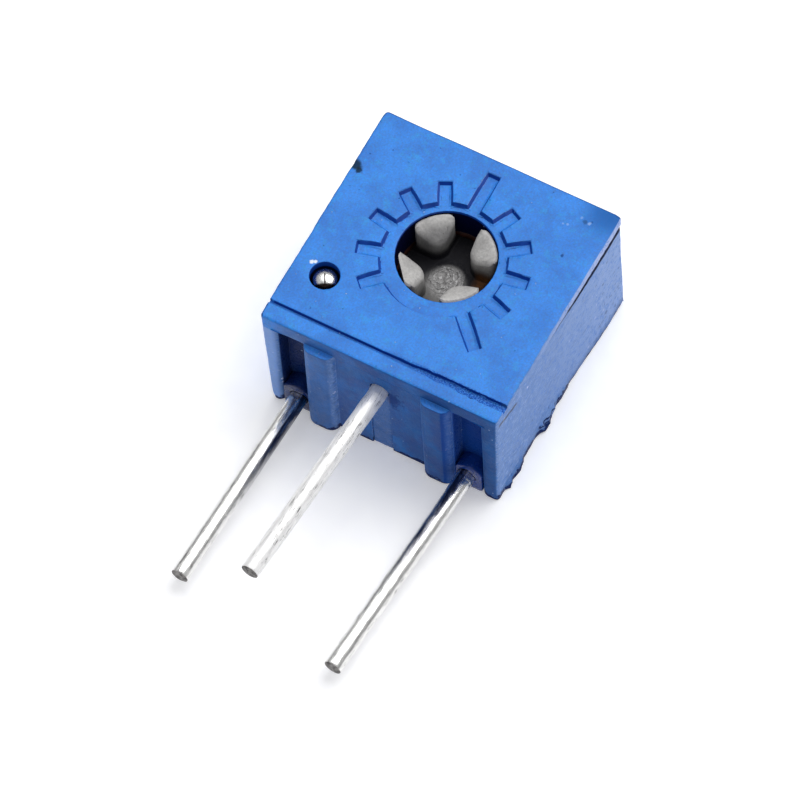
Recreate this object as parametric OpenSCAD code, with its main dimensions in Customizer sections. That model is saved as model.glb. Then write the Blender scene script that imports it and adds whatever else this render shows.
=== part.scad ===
// Sealed single-turn trimmer potentiometer, 1/4 inch square kind, side-exit leads.
// Millimetres. The part lies on its back: +Z is the rotor axis and points out of the adjustment
// face, the leads leave towards -Y. The origin is on the base plane, under the rotor axis.

/* [Housing] */
// Width of the housing across the row of leads
body_w = 7.0; // [6.8:0.1:9]
// Depth of the housing along the leads, without the ribs
body_d = 7.0; // [6.8:0.1:9]
// Height of the housing from the base to the adjustment face
body_h = 4.45; // [4.4:0.05:6]
// Distance from the rotor axis to the back face
axis_to_back = 3.12; // [3.05:0.01:4]
// Radius of the upright outer edges
corner_r = 0.12; // [0.05:0.01:0.3]
// Wall between the back face and the substrate
back_wall = 0.6; // [0.4:0.05:0.8]
// Wall between each side face and the substrate
side_wall = 0.4; // [0.3:0.05:0.5]

/* [Adjustment face] */
// Diameter of the screwdriver opening
bore_d = 2.75; // [2.4:0.05:3.3]
// Thickness of the wall that the opening goes through
face_wall = 1.2; // [1:0.05:1.5]
// Width of the strip between the front edge and the groove
lip_strip_w = 0.46; // [0.35:0.01:0.6]
// Width of the groove behind the strip
groove_w = 0.1; // [0.06:0.01:0.2]
// Depth of the groove behind the strip
groove_depth = 0.12; // [0.06:0.01:0.3]

/* [Dial] */
// Depth of the dial below the adjustment face
dial_depth = 0.15; // [0.08:0.01:0.25]
// Width of the ring round the opening
dial_ring_w = 0.335; // [0.2:0.005:0.4]
// Shift of the dial from the rotor axis towards the leads
dial_shift = 0.17; // [0:0.01:0.2]
// Number of rays
ray_count = 11; // [5:2:13]
// Angle between neighbouring rays, in degrees
ray_pitch = 27; // [20:1:27]
// Width of a ray
ray_w = 0.37; // [0.2:0.01:0.45]
// Length of a short ray outside the ring
ray_len = 0.635; // [0.4:0.005:0.7]
// Length of the two long rays, at the middle of the dial and at its end by lead 3
long_ray_len = 1.14; // [0.8:0.005:1.2]

/* [Lead side] */
// Height of the lip above the pockets
lip_h = 0.5; // [0.4:0.05:0.7]
// Depth of the pockets round the outer leads
pocket_depth = 0.5; // [0.3:0.05:0.6]
// Distance from an outer lead's axis to the far side of its pocket
pocket_side = 0.46; // [0.35:0.01:0.5]
// Rounding of a pocket's outer front edge
pocket_edge_r = 0.22; // [0.1:0.01:0.3]
// Distance from an outer lead's axis to the rib beside it
rib_gap = 0.34; // [0.32:0.01:0.45]
// Width of a rib
rib_w = 0.92; // [0.7:0.01:1]
// Standoff: how far a rib stands out of the front face
rib_proud = 0.22; // [0.1:0.01:0.5]
// Rounding of a rib's upright edges
rib_r = 0.3; // [0.1:0.01:0.4]
// Drop from the adjustment face to the top of a rib
rib_drop = 0.42; // [0.3:0.01:1]
// Recess of the panel between the ribs
panel_recess = 0.04; // [0.02:0.01:0.2]

/* [Leads] */
// Diameter of the lead wire
lead_d = 0.51; // [0.45:0.01:0.62]
// Spacing of the leads across the housing
lead_pitch = 2.54; // [2.1:0.01:2.6]
// Height of the outer leads above the base
lead_z = 0.6; // [0.5:0.01:0.7]
// Rise of the middle lead above the outer leads
lead_rise = 2.54; // [2.4:0.01:2.6]
// Lengths of leads 1, 2 and 3 outside the housing
lead_len = [6.1, 6.2, 6.6]; // [3:0.05:12]
// Sideways splay of leads 1, 2 and 3 towards lead 1's side, in degrees
lead_splay = [2.2, 4.3, 3.9]; // [0:0.1:6]
// Radius of the bends, along the middle of the wire
lead_bend_r = 0.35; // [0.3:0.01:0.5]
// Diameter of the hole in which lead 1's post shows
post_hole_d = 0.82; // [0.7:0.01:0.9]
// Depth of the post's dome below the adjustment face
post_drop = 0.11; // [0.05:0.01:0.5]

/* [Rotor] */
// Width of the cross slot
slot_w = 0.7; // [0.5:0.01:0.8]
// Depth of the cross slot below the prongs
slot_depth = 1.22; // [0.5:0.01:1.3]
// Rounding of the inner corner of each prong, in plan
prong_r = 0.38; // [0.2:0.01:0.45]
// Drop from the dial's ring to the prongs' outer ends
prong_drop = 0.05; // [0.03:0.01:0.3]
// Fall of the prongs' tops from their outer ends to their noses
prong_fall = 0.15; // [0.05:0.01:0.25]
// Depth of the flat that marks one prong
flat_depth = 0.105; // [0.05:0.005:0.2]
// Thickness of the stop lug on the rotor's disc, from inside to outside
lug_t = 0.2; // [0.15:0.01:0.3]
// Thickness of the rotor's disc
disc_t = 0.7; // [0.5:0.05:0.8]
// Full turning angle between the stops, in degrees
travel = 270; // [200:5:280]

/* [Inside] */
// Potting between the outer leads and the substrate
lead_cover = 0.045; // [0.02:0.005:0.2]
// Thickness of the substrate
substrate_t = 0.6; // [0.5:0.01:0.65]
// Thickness of the printed films
film_t = 0.03; // [0.02:0.01:0.05]
// Width of the resistive track
track_w = 0.6; // [0.5:0.01:0.65]
// Thickness of the seal's ring
seal_d = 0.54; // [0.5:0.01:0.6]
// Thickness of the wiper's sheet
wiper_t = 0.07; // [0.05:0.01:0.1]
// Recess of the potting above the base plane
potting_recess = 0.04; // [0:0.01:0.1]

/* [Hidden] */
// Fits
slide_gap = 0.03;      // rotor in the opening, seal against the face wall
turn_gap = 0.1;        // rotor disc in its chamber
seat_gap = 0.03;       // substrate in its seat
wire_gap = 0.01;       // potting and solder round a wire
post_gap = 0.045;      // substrate holes and slots round a wire
film_gap = 0.02;       // films under the housing's ledge
lug_clear = 0.085;     // seal to the stop lug
lug_gap = 0.08;        // over the lug, and under the stop block
touch_gap = 0.01;      // wiper fingers over the films
stop_gap = 1;          // stop lug to stop block at each end, in degrees
eps = 0.05;            // overshoot of cutting shapes

// Places
front_y = axis_to_back - body_d;
back_y = axis_to_back;
lip_z = body_h - lip_h;
ring_z = body_h - dial_depth;
face_z = body_h - face_wall;
bore_r = bore_d / 2;
ring_r = bore_r + dial_ring_w;
dial_start = 90 - ray_pitch * (ray_count - 1) / 2;

post_setback = 1.33;   // outer posts behind the pockets
mid_post_setback = 0.98;    // middle post behind the front face
exit_run = 0.13;       // leads run straight this far in front of the front face
lead_r = lead_d / 2;
outer_x = lead_pitch;
post_y = front_y + pocket_depth + post_setback;
mid_z = lead_z + lead_rise;
mid_post_y = front_y + mid_post_setback;
posts = [[-outer_x, post_y], [0, mid_post_y], [outer_x, post_y]];
post_hole_r = post_hole_d / 2;
post_top_z = body_h - post_drop;
blind_post_z = 2.22;
blind_gap = 0.2;       // over lead 3's post, in its blind hole
exit_y = front_y - exit_run;

slot_r = lead_r + post_gap;
pocket_x_out = outer_x + pocket_side;
pocket_x_in = outer_x - rib_gap;
pocket_y = front_y + pocket_depth;
rib_offset = pocket_x_in - rib_w / 2;
panel_y = front_y + panel_recess;

neck_r = bore_r - slide_gap;
lug_r = neck_r + slide_gap + seal_d + lug_clear;
disc_r = lug_r + lug_t;
chamber_r = disc_r + turn_gap;
prong_z = ring_z - prong_drop;
slot_z = prong_z - slot_depth;
seal_r = seal_d / 2;
disc_top_z = face_z - seal_d - 2 * slide_gap;
disc_z = disc_top_z - disc_t;
lug_half = 9;
lug_top_z = face_z - lug_gap;
stop_z = disc_top_z + lug_gap;
stop_half = 180 - travel / 2 - lug_half - stop_gap;

substrate_z = lead_z + lead_r + lead_cover;
film_z = substrate_z + substrate_t;
film_top_z = film_z + film_t;
ledge_z = film_top_z + film_gap;
pocket_web = 0.15;     // wall between a pocket and the seat
seat_x = body_w / 2 - side_wall;
seat_y_back = back_y - back_wall;
seat_y_front = pocket_y + pocket_web;
seat_r = 0.3;

collector_r_in = 0.6;
collector_r_out = 1.1;
strip_w = 0.6;
track_inset = 0.25;
track_r_out = chamber_r - track_inset;
track_r_in = track_r_out - track_w;
pad_r = lead_r + 0.185;
solder_r = lead_r + 0.12;
well_r = solder_r + seat_gap;
solder_h = 0.17;
track_half = travel / 2 + 13;    // half-angle of the resistive track
pad_half = 9;          // angle that a pad takes at the track's end

wire_fn = 32;
kink_r = lead_r + 0.004;    // a lead swells very slightly where it bends at its exit
dome_r = 0.3;

pad_bar_w = 0.3;
pad_reach = 0.3;       // a pad reaches this far outside the track

hub_r = 0.62;
hub_arm_w = 0.55;
finger_w = 0.13;
finger_pitch = 0.19;
finger_run = 0.95;
finger_root = 0.24;    // length of a finger's flat root, on the spine
finger_root_x = -0.6;
finger_heel = 0.84;    // share of the run where the finger meets the film
finger_tip_rise = 0.09;
wiper_z = disc_z - wiper_t;
stake_r = 0.3;
stake_head_r = 0.42;
stake_head_t = 0.07;

prong_chamfer = 0.05;
prong_land = 0.03;     // level part of a prong's top, inside the chamfer
fall_r = 0.6;          // the prongs' tops fall from their land to this radius
flat_angle = 220;      // direction of the flat that marks one prong
dimple_r = 0.3;
dimple_pip_r = 0.12;
dimple_depth = 0.05;
stop_clear = 0.03;     // stop block reaches this much further in than the lug

mound_z = 0.62;        // axis of the potting's mound in an outer pocket
mound_over = 0.08;     // the mound is cut by the pocket's sides
fill_recess = 0.03;    // potting behind the mouths of the pockets and of the middle slot
key_drop = 0.05;       // potting in the middle slot stops this far below the lead's axis
post_tail = 0.15;      // middle lead's post below the substrate

$fn = 96;

// ---- shared shapes ----

// Rectangle with round corners, from x0, y0 to x1, y1
module round_rect(x0, y0, x1, y1, r) {
    translate([x0 + r, y0]) square([x1 - x0 - 2 * r, y1 - y0]);
    translate([x0, y0 + r]) square([x1 - x0, y1 - y0 - 2 * r]);
    for (x = [x0 + r, x1 - r], y = [y0 + r, y1 - r])
        translate([x, y]) circle(r);
}

// Pie piece about +Y, from angle a0 to a1 measured towards -X
module sector(r, a0, a1) {
    intersection() {
        circle(r);
        polygon([[0, 0], for (k = [0 : 8]) let (a = a0 + (a1 - a0) * k / 8) 2 * r * [-sin(a), cos(a)]]);
    }
}

// Band of that pie piece between two radii
module arc_band(r_in, r_out, a0, a1) {
    difference() {
        sector(r_out, a0, a1);
        circle(r_in);
    }
}

// Straight bar of width w between two points
module bar(p, q, w) {
    d = q - p;
    translate(p) rotate(atan2(d.y, d.x)) translate([0, -w / 2]) square([norm(d), w]);
}

// Corner that is filled outside a quarter circle: rounds a convex edge when it is cut away
module round_over(r) {
    difference() {
        translate([-eps, -eps]) square(r + eps);
        translate([r, r]) circle(r);
    }
}

// Solid between two heights
module slab(z0, z1) {
    translate([0, 0, z0]) linear_extrude(z1 - z0) children();
}

// Rod along +Z
module rod(r, h) {
    cylinder(h = h, r = r);
}

// Rod along -Y from y0 to y1, at x, z
module y_rod(x, z, y0, y1, r) {
    translate([x, y0, z]) rotate([90, 0, 0]) rod(r, y0 - y1);
}

// Both sides of the middle plane
module both_sides() {
    children();
    mirror([1, 0, 0]) children();
}

// ---- wire paths ----

// Quarter bend in the plane of the rotor axis and the leads, round its centre: from +Y to +Z
module quarter_bend(r) {
    rotate([90, 0, 90]) rotate_extrude(angle = 90, $fn = wire_fn) translate([lead_bend_r, 0]) circle(r);
}

// Outer lead: run inwards at lead_z, bend up, post to z_top
module outer_wire(x, z_top, r, domed = false) {
    h = z_top - lead_z - lead_bend_r;
    translate([x, post_y - lead_bend_r, lead_z + lead_bend_r]) mirror([0, 0, 1]) quarter_bend(r);
    y_rod(x, lead_z, post_y - lead_bend_r, exit_y, r, $fn = wire_fn);
    translate([x, post_y, lead_z + lead_bend_r])
        if (domed) domed_rod(r, h); else rod(r, h, $fn = wire_fn);
}

// Middle lead: post from z_low, bend towards -Y, run out at mid_z
module middle_wire(z_low, r) {
    translate([0, mid_post_y - lead_bend_r, mid_z - lead_bend_r]) quarter_bend(r);
    y_rod(0, mid_z, mid_post_y - lead_bend_r, exit_y, r, $fn = wire_fn);
    translate([0, mid_post_y, z_low]) rod(r, mid_z - lead_bend_r - z_low, $fn = wire_fn);
}

// Free end of a lead: a slight bend at the exit, then straight out, splayed towards -X
module free_end(x, z, k) {
    a = lead_splay[k];
    run = lead_len[k] - (front_y - exit_y);
    translate([x, exit_y, z]) {
        sphere(kink_r, $fn = wire_fn);
        rotate([90, 0, -a]) rod(lead_r, run, $fn = wire_fn);
    }
}

// Rod along +Z with a domed top
module domed_rod(r, h) {
    rotate_extrude($fn = wire_fn)
        intersection() {
            square([r, h]);
            union() {
                square([2 * r, h - dome_r]);
                translate([0, h - dome_r]) circle(dome_r);
            }
        }
}

// ---- housing ----

module body_block() {
    slab(0, body_h) round_rect(-body_w / 2, front_y, body_w / 2, back_y, corner_r);
}

// Everything cut from the lead side below the lip, apart from what the ribs add back
module lead_side_cuts() {
    slab(-eps, lip_z) {
        both_sides() {
            translate([pocket_x_in, front_y - eps])
                square([pocket_x_out - pocket_x_in, pocket_depth + eps]);
            translate([pocket_x_out, front_y]) round_over(pocket_edge_r);
        }
        translate([-pocket_x_in, front_y - eps]) square([2 * pocket_x_in, panel_recess + eps]);
    }
}

// Standoff rib: round upright edges in front, square where it joins the housing
module rib() {
    slab(0, body_h - rib_drop) {
        round_rect(rib_offset - rib_w / 2, front_y - rib_proud, rib_offset + rib_w / 2,
            pocket_y, rib_r);
        translate([rib_offset - rib_w / 2, pocket_y - rib_r]) square([rib_w, rib_r + eps]);
    }
}

// Ring and rays of the dial; rays run anticlockwise from lead 3's side
module dial() {
    slab(ring_z, body_h + eps) translate([0, -dial_shift]) {
        circle(ring_r);
        for (k = [0 : ray_count - 1]) {
            len = k == 0 || k == (ray_count - 1) / 2 ? long_ray_len : ray_len;
            rotate(dial_start + k * ray_pitch) translate([0, -ray_w / 2]) square([ring_r + len, ray_w]);
        }
    }
}

module lip_groove() {
    translate([-body_w / 2 - eps, front_y + lip_strip_w, body_h - groove_depth])
        cube([body_w + 2 * eps, groove_w, groove_depth + eps]);
}

// Chamber for the rotor's disc, with the stop block left standing
module chamber() {
    difference() {
        slab(ledge_z - eps, face_z) circle(chamber_r);
        slab(stop_z, face_z + eps)
            arc_band(lug_r - stop_clear, chamber_r + eps, 180 - stop_half, 180 + stop_half);
    }
}

// Seat of the substrate, open to the base
module seat(z1, gap = 0) {
    slab(-eps, z1)
        round_rect(-seat_x + gap, seat_y_front + gap, seat_x - gap, seat_y_back - gap, seat_r - gap);
}

// Way in for the middle lead: open to the base and to the lead side
module middle_slot() {
    slab(-eps, mid_z) translate([-slot_r, front_y - eps])
        square([2 * slot_r, mid_post_y - front_y + eps]);
    y_rod(0, mid_z, mid_post_y, front_y - eps, slot_r);
    translate([0, mid_post_y, -eps]) rod(slot_r, mid_z + eps);
    translate([0, mid_post_y, mid_z]) sphere(slot_r);
}

// Way in for an outer lead through the wall behind its pocket
module outer_notch() {
    slab(-eps, lead_z) translate([outer_x - slot_r, pocket_y - eps])
        square([2 * slot_r, seat_y_front - pocket_y + 2 * eps]);
    y_rod(outer_x, lead_z, seat_y_front + eps, pocket_y - eps, slot_r);
}

module housing() {
    color([0.22, 0.47, 0.84])
        difference() {
            union() {
                difference() {
                    body_block();
                    lead_side_cuts();
                }
                both_sides() rib();
            }
            dial();
            lip_groove();
            translate([0, 0, face_z - eps]) rod(bore_r, face_wall + 2 * eps);
            chamber();
            seat(ledge_z);
            middle_slot();
            both_sides() outer_notch();
            for (p = posts) translate([p.x, p.y, ledge_z - eps]) rod(well_r, solder_h + 2 * eps);
            translate([-outer_x, post_y, ledge_z - eps]) rod(post_hole_r, body_h);
            translate([outer_x, post_y, ledge_z - eps])
                rod(post_hole_r, blind_post_z + blind_gap - ledge_z);
        }
}

// ---- rotor ----

// Cross slot in plan: the prongs' inner corners are round
module cross_slot() {
    for (a = [0, 90]) rotate(a) square([2 * (neck_r + eps), slot_w], center = true);
    for (a = [0 : 90 : 270]) rotate(a) translate([slot_w / 2, slot_w / 2]) round_over(prong_r);
}

// Cut that makes the prongs' tops fall towards the axis
module falling_top() {
    slope = (neck_r - prong_chamfer - prong_land - fall_r) / prong_fall;
    height = prong_fall + eps;
    translate([0, 0, prong_z - prong_fall]) cylinder(h = height, r1 = fall_r, r2 = fall_r + slope * height);
}

module rotor() {
    color([0.66, 0.65, 0.62])
        difference() {
            union() {
                slab(disc_z, disc_top_z) circle(disc_r);
                slab(disc_top_z - eps, prong_z - prong_chamfer) circle(neck_r);
                translate([0, 0, prong_z - prong_chamfer])
                    cylinder(h = prong_chamfer, r1 = neck_r, r2 = neck_r - prong_chamfer);
                slab(disc_top_z - eps, lug_top_z) arc_band(lug_r, disc_r, -lug_half, lug_half);
                slab(wiper_z - eps, disc_z + eps) circle(stake_r);
                slab(wiper_z - stake_head_t, wiper_z) circle(stake_head_r);
            }
            falling_top();
            slab(slot_z, body_h) cross_slot();
            slab(slot_z, body_h) rotate(flat_angle) translate([neck_r - flat_depth, -bore_r])
                square([flat_depth + eps, 2 * bore_r]);
            slab(slot_z - dimple_depth, body_h)
                difference() {
                    circle(dimple_r);
                    circle(dimple_pip_r);
                }
        }
}

module rotor_seal() {
    color([0.62, 0.2, 0.14])
        translate([0, 0, (disc_top_z + face_z) / 2])
            rotate_extrude() translate([neck_r + slide_gap + seal_r, 0]) circle(seal_r);
}

// One finger along +X: down to the film, then a curled tip
module finger(y) {
    low = film_top_z + touch_gap;
    heel_x = finger_root_x + finger_run * finger_heel;
    tip_x = finger_root_x + finger_run;
    under = [[finger_root_x - finger_root, wiper_z], [finger_root_x, wiper_z], [heel_x, low],
        [tip_x, low + finger_tip_rise]];
    translate([0, y + finger_w / 2, 0]) rotate([90, 0, 0])
        linear_extrude(finger_w)
            polygon(concat(under, [for (k = [3 : -1 : 0]) under[k] + [0, wiper_t]]));
}

module wiper_contact() {
    track_mid = (track_r_in + track_r_out) / 2;
    collector_mid = (collector_r_in + collector_r_out) / 2;
    spine_x = finger_root_x - finger_root / 2;
    color([0.83, 0.69, 0.38]) {
        slab(wiper_z, disc_z) difference() {
            union() {
                circle(hub_r);
                bar([0, 0], [spine_x, collector_mid], hub_arm_w);
                translate([spine_x - finger_root / 2, collector_mid - finger_pitch])
                    square([finger_root, track_mid - collector_mid + 2 * finger_pitch + finger_w / 2]);
            }
            circle(stake_r + wire_gap);
        }
        for (k = [-1 : 1]) finger(track_mid + k * finger_pitch);
        for (k = [-0.5, 0.5]) finger(collector_mid + k * finger_pitch);
    }
}

// ---- substrate and films ----

module substrate() {
    color([0.93, 0.93, 0.9])
        difference() {
            intersection() {
                seat(film_z, seat_gap);
                slab(substrate_z, film_z) square(2 * (body_w + body_d), center = true);
            }
            for (p = posts) translate([p.x, p.y, 0]) rod(slot_r, body_h);
            slab(0, body_h) translate([-slot_r, front_y]) square([2 * slot_r, mid_post_y - front_y]);
        }
}

module resistive_track() {
    color([0.13, 0.13, 0.13])
        slab(film_z, film_top_z) arc_band(track_r_in, track_r_out, -track_half, track_half);
}

module collector_track() {
    color([0.76, 0.75, 0.72])
        slab(film_z, film_top_z) difference() {
            union() {
                circle(collector_r_out);
                translate([-strip_w / 2, mid_post_y]) square([strip_w, -mid_post_y]);
                translate([0, mid_post_y]) circle(pad_r);
            }
            circle(collector_r_in);
            translate([0, mid_post_y]) circle(slot_r);
            translate([-body_w, front_y]) square([2 * body_w, seat_y_front + seat_gap - front_y]);
            translate([-slot_r, front_y]) square([2 * slot_r, mid_post_y - front_y]);
        }
}

// Pad on the -X side: from the end of the track to the outer lead's post
module termination_pad() {
    bar_a = track_half + pad_half / 2;
    from = (track_r_out + pad_reach / 2) * [-sin(bar_a), cos(bar_a)];
    color([0.76, 0.75, 0.72])
        slab(film_z, film_top_z) difference() {
            union() {
                arc_band(track_r_in, track_r_out + pad_reach, track_half, track_half + pad_half);
                bar(from, [-outer_x, post_y], pad_bar_w);
                translate([-outer_x, post_y]) circle(pad_r);
            }
            translate([-outer_x, post_y]) circle(slot_r);
        }
}

module termination_pad_1() termination_pad();

module termination_pad_3() mirror([1, 0, 0]) termination_pad();

// ---- leads and joints ----

module lead_1() {
    color([0.86, 0.86, 0.84]) {
        outer_wire(-outer_x, post_top_z, lead_r, domed = true);
        free_end(-outer_x, lead_z, 0);
    }
}

module lead_2() {
    color([0.86, 0.86, 0.84]) {
        middle_wire(substrate_z - post_tail, lead_r);
        free_end(0, mid_z, 1);
    }
}

module lead_3() {
    color([0.86, 0.86, 0.84]) {
        outer_wire(outer_x, blind_post_z, lead_r);
        free_end(outer_x, lead_z, 2);
    }
}

// Fillet of solder round a post, on its film
module solder_joint(post) {
    r_in = lead_r + wire_gap;
    color([0.7, 0.71, 0.73])
        translate([post.x, post.y, film_top_z])
            rotate_extrude()
                polygon([[r_in, 0], [solder_r, 0], [(r_in + solder_r) / 2, solder_h / 3], [r_in, solder_h]]);
}

module solder_joint_1() solder_joint(posts[0]);

module solder_joint_2() solder_joint(posts[1]);

module solder_joint_3() solder_joint(posts[2]);

// ---- potting ----

// Potting in one outer pocket: a mound round the lead, and the wall's notch behind it
module pocket_fill() {
    x_mid = (pocket_x_in + pocket_x_out) / 2;
    width = pocket_x_out - pocket_x_in;
    intersection() {
        union() {
            y_rod(x_mid, mound_z, pocket_y, front_y + fill_recess, width / 2 + mound_over);
            translate([pocket_x_in, front_y + fill_recess, potting_recess])
                cube([width, pocket_depth - fill_recess, mound_z - potting_recess]);
        }
        translate([pocket_x_in, front_y, potting_recess]) cube([width, pocket_depth, lip_z]);
    }
    intersection() {
        outer_notch();
        translate([pocket_x_in, pocket_y, potting_recess])
            cube([width, seat_y_front - pocket_y, substrate_z]);
    }
}

module potting() {
    key_y0 = panel_y + fill_recess;
    color([0.16, 0.3, 0.62])
        difference() {
            union() {
                intersection() {
                    seat(substrate_z);
                    translate([-body_w, -body_d, potting_recess]) cube([2 * body_w, 2 * body_d, body_h]);
                }
                translate([-slot_r, key_y0, potting_recess])
                    cube([2 * slot_r, mid_post_y - well_r - key_y0, mid_z - key_drop - potting_recess]);
                translate([-slot_r, key_y0, potting_recess])
                    cube([2 * slot_r, mid_post_y - key_y0, substrate_z - potting_recess]);
                both_sides() pocket_fill();
            }
            outer_wire(-outer_x, blind_post_z, lead_r + wire_gap);
            outer_wire(outer_x, blind_post_z, lead_r + wire_gap);
            middle_wire(substrate_z - post_tail - wire_gap, lead_r + wire_gap);
        }
}

housing();
rotor();
rotor_seal();
wiper_contact();
substrate();
resistive_track();
collector_track();
termination_pad_1();
termination_pad_3();
lead_1();
lead_2();
lead_3();
solder_joint_1();
solder_joint_2();
solder_joint_3();
potting();
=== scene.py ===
import bmesh
import bpy
import math
from mathutils import Matrix, Vector, noise


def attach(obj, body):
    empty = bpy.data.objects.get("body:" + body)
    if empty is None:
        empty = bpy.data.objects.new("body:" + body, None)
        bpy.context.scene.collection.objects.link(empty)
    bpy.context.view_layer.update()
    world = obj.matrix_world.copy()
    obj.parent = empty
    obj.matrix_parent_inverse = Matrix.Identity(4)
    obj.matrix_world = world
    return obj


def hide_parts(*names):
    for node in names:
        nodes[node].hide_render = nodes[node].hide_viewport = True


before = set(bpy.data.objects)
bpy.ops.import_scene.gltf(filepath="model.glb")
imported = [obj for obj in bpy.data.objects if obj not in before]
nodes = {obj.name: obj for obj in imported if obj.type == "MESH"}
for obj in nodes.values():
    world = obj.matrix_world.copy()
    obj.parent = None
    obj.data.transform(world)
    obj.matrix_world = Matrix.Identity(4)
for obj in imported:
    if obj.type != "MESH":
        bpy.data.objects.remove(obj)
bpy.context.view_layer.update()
MM = 0.001

# ---- places on the part, in mm, as in its source ----
SIDE, FRONT, BACK, TOP = 3.5, -3.88, 3.12, 4.45
LIP_Z = TOP - 0.5
GROOVE = (FRONT + 0.46, FRONT + 0.56)
DIAL_Z = TOP - 0.15
BORE_R, NECK_R, CHAMBER_R = 1.375, 1.345, 2.3
PRONG_Z, SLOT_Z = 4.25, 3.03
OUTER_X = 2.54
POCKET_IN, POCKET_OUT, POCKET_Y = 2.2, 3.0, FRONT + 0.5
HOLE = Vector((-OUTER_X, -2.05))
HOLE_R = 0.41

# ---- places that only the looks have, in mm, read from the photo ----
PARTING_Z = 4.14
SEAM_START_Y = -1.2       # the parting line shows from here to the back
NICK_Y = 1.27             # along the left top edge
BLEMISH = (2.8, 2.53)     # near the far right corner
SHADOW_X, SHADOW_Z = 0.35, 3.0    # beside the middle lead
FLASH = ((-4.0, -3.5, 0.03, 0.26),    # resin on the bottom right edge: y from, y to, mm proud, mm tall
         (-3.55, -2.45, 0.14, 0.18),
         (-2.7, -1.3, 0.02, 0.14),
         (-1.65, -0.65, 0.15, 0.38),
         (-0.8, 0.1, 0.06, 0.26))

# ---- camera, light and floor ----
AZIMUTH, ELEVATION, ROLL = 32.17, 62.13, -4.23    # degrees
DISTANCE = 201 * MM
AIM = Vector((-0.323, -2.317, -0.195)) * MM
LENS, SENSOR = 337.5, 36
SKY = (0.97, 0.98, 1)
FLOOR_HALF = 600 * MM


def make_camera():
    az, el, roll = (math.radians(a) for a in (AZIMUTH, ELEVATION, ROLL))
    forward = Vector((-math.sin(az) * math.cos(el), math.cos(az) * math.cos(el), -math.sin(el)))
    level = Vector((math.cos(az), math.sin(az), 0))
    over = level.cross(forward)
    right = level * math.cos(roll) + over * math.sin(roll)
    up = over * math.cos(roll) - level * math.sin(roll)
    data = bpy.data.cameras.new("camera")
    data.lens, data.sensor_width = LENS, SENSOR
    data.clip_start, data.clip_end = 0.01, 10
    camera = bpy.data.objects.new("camera", data)
    bpy.context.scene.collection.objects.link(camera)
    turn = Matrix((right, up, -forward)).transposed().to_4x4()
    camera.matrix_world = Matrix.Translation(AIM - forward * DISTANCE) @ turn
    bpy.context.scene.camera = camera


def area_light(name, az, el, distance, size, power):
    """Round soft light in the direction az (0 in front, 90 to the right) and el, facing the origin."""
    data = bpy.data.lights.new(name, "AREA")
    data.shape, data.size, data.energy = "DISK", size, power
    light = bpy.data.objects.new(name, data)
    bpy.context.scene.collection.objects.link(light)
    a, e = math.radians(az), math.radians(el)
    towards = Vector((math.sin(a) * math.cos(e), -math.cos(a) * math.cos(e), math.sin(e)))
    light.location = towards * distance
    light.rotation_mode = "QUATERNION"
    light.rotation_quaternion = towards.to_track_quat("Z", "Y")


def make_world(horizon, zenith):
    """White studio dome, dimmer towards the horizon."""
    world = bpy.data.worlds.new("world")
    bpy.context.scene.world = world
    world.use_nodes = True
    tree = world.node_tree
    coord = tree.nodes.new("ShaderNodeTexCoord")
    split = tree.nodes.new("ShaderNodeSeparateXYZ")
    span = tree.nodes.new("ShaderNodeMapRange")
    span.inputs["To Min"].default_value, span.inputs["To Max"].default_value = horizon, zenith
    tree.links.new(coord.outputs["Generated"], split.inputs[0])
    tree.links.new(split.outputs["Z"], span.inputs["Value"])
    tree.links.new(span.outputs[0], tree.nodes["Background"].inputs["Strength"])
    tree.nodes["Background"].inputs["Color"].default_value = (*SKY, 1)


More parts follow.
